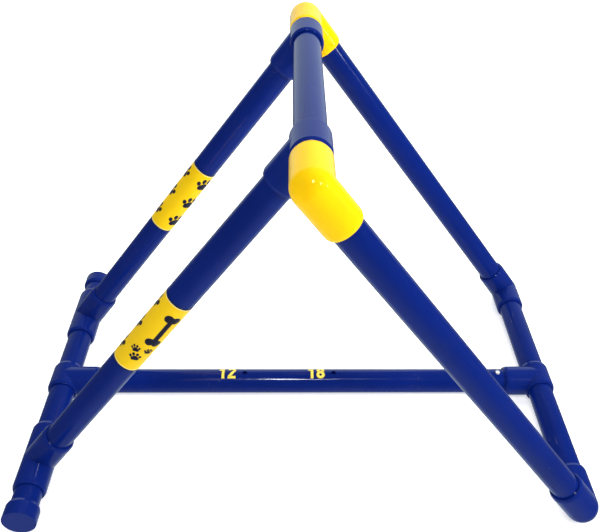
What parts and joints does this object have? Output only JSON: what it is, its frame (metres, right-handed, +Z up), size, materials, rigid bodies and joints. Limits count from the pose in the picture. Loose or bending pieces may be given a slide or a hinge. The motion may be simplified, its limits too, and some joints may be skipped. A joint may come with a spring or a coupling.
{
  "type": "agility hurdle",
  "caption": "Folding A-frame dog agility hurdle of plastic pipe whose top bar is the jump; a telescoping spreader with a snap button sets its height.",
  "frame": {"origin": "centre of the footprint on the floor, below the jump bar", "axes": "+X from the swing panel's foot rail to the bar panel's foot rail, +Y along the jump bar, +Z up"},
  "size_m": [0.8985, 0.5764, 0.6147],
  "materials": {
    "blue_pipe": "glossy deep blue furniture-grade PVC pipe",
    "blue_fitting": "glossy deep blue moulded PVC fittings",
    "yellow_fitting": "glossy yellow moulded PVC elbows",
    "band_vinyl": "satin yellow printed vinyl wrap and numerals",
    "printed_ink": "navy ink of the paw prints on the bands",
    "button_steel": "bright zinc-plated steel"
  },
  "bodies": {
    "bar_panel": {"jump_bar": "blue_pipe", "top_elbow_near": "yellow_fitting", "top_elbow_far": "yellow_fitting", "bar_leg_near": "blue_pipe", "bar_leg_far": "blue_pipe", "foot_elbow_near": "blue_fitting", "foot_elbow_far": "blue_fitting", "bar_foot_rail": "blue_pipe"},
    "swing_panel": {"hinge_tee_near": "blue_fitting", "hinge_tee_far": "blue_fitting", "swing_leg_near": "blue_pipe", "swing_leg_far": "blue_pipe", "foot_tee_near": "blue_fitting", "foot_tee_far": "blue_fitting", "swing_foot_rail": "blue_pipe", "rail_stub_near": "blue_pipe", "rail_stub_far": "blue_pipe", "end_cap_near": "blue_fitting", "end_cap_far": "blue_fitting", "paw_band_near": "band_vinyl", "paw_band_far": "band_vinyl"},
    "spreader_outer": {"spreader_tee_bar": "blue_fitting", "spreader_wide_tube": "blue_pipe"},
    "spreader_inner": {"spreader_tee_swing": "blue_fitting", "reducer_bushing": "blue_fitting", "spreader_slim_tube": "blue_pipe"},
    "lock_button": {"snap_button": "button_steel"}
  },
  "joints": [
    {"name": "apex_fold", "type": "hinge", "parent": "bar_panel", "child": "swing_panel", "pos_m": [0, 0, 0.58895], "axis": [0, 1, 0], "range_deg": [0, 60.78]},
    {"name": "bar_rail_turn", "type": "hinge", "parent": "bar_panel", "child": "spreader_outer", "pos_m": [0.4235, 0, 0.02575], "axis": [0, 1, 0], "range_deg": [0, 30.5]},
    {"name": "swing_rail_turn", "type": "hinge", "parent": "swing_panel", "child": "spreader_inner", "pos_m": [-0.4235, 0, 0.02575], "axis": [0, 1, 0], "range_deg": [-30.5, 0]},
    {"name": "button_press", "type": "slide", "parent": "spreader_inner", "child": "lock_button", "axis": [0, 0, -1], "range_m": [0, 0.0065], "stiffness_N_per_m": 1500, "springref_m": -0.001, "deforming": ["snap_button"]}
  ],
  "couplings": [
    {"joint": "bar_rail_turn", "follows": "apex_fold", "ratio": 0.5},
    {"joint": "swing_rail_turn", "follows": "apex_fold", "ratio": -0.5}
  ]
}
